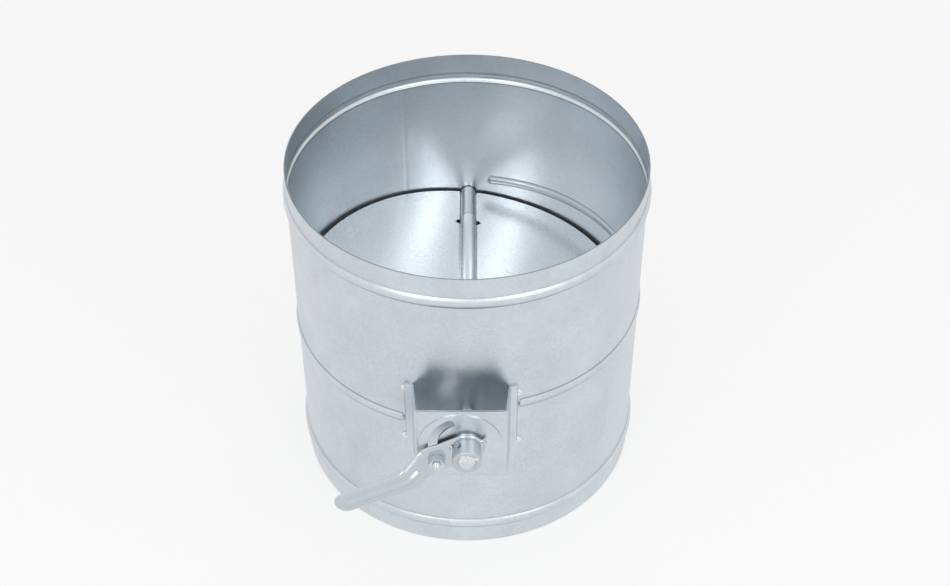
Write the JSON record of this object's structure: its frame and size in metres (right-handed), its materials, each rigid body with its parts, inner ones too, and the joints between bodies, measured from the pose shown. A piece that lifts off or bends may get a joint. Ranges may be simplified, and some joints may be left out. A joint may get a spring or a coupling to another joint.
{
  "type": "volume control damper",
  "caption": "Round galvanised duct damper with a pivoting disc blade, hat bracket, arc slot and a lockable hand lever.",
  "frame": {"origin": "centre of the lower rim, in the plane of the lower open end", "axes": "+Z along the duct's axis to the upper open end, -Y to the handle, +X to the right seen from the handle side; the blade's shaft lies along Y"},
  "size_m": [0.2543, 0.2958, 0.257],
  "materials": {
    "galvanised_sheet": "smooth galvanised, fine spangle, semi-matte",
    "blade_sheet": "smooth galvanised, brighter",
    "bracket_sheet": "galvanised sheet",
    "shaft_steel": "drawn round bar, zinc plated",
    "zinc_plated": "bright zinc plate",
    "bush_metal": "turned steel",
    "fastener_zinc": "bright zinc plate"
  },
  "bodies": {
    "casing_set": {"casing": "galvanised_sheet", "handle_bracket": "bracket_sheet", "front_bush": "bush_metal", "rear_bush": "bush_metal", "bracket_bush": "bush_metal"},
    "blade_and_handle": {"shaft": "shaft_steel", "blade": "blade_sheet", "lever": "zinc_plated", "hub": "zinc_plated", "hub_pin": "fastener_zinc", "rear_thrust_washer": "fastener_zinc", "rear_retaining_clip": "fastener_zinc", "lock_washer": "fastener_zinc"},
    "bolt": {"lock_bolt": "fastener_zinc"},
    "nut": {"lock_nut": "fastener_zinc"}
  },
  "joints": [
    {"name": "blade_turn", "type": "hinge", "parent": "casing_set", "child": "blade_and_handle", "pos_m": [0, 0, 0.1285], "axis": [0, 1, 0], "range_deg": [-6.6, 83.4]},
    {"name": "nut_turn", "type": "hinge", "parent": "blade_and_handle", "child": "nut", "pos_m": [-0.02031, -0.1535, 0.1177], "axis": [0, -1, 0], "range_deg": [0, 360]},
    {"name": "bolt_travel", "type": "slide", "parent": "blade_and_handle", "child": "bolt", "axis": [0, 1, 0], "range_m": [0, 0.0012]}
  ],
  "couplings": [
    {"joint": "bolt_travel", "follows": "nut_turn", "m_per_rad": 0.00015915}
  ]
}
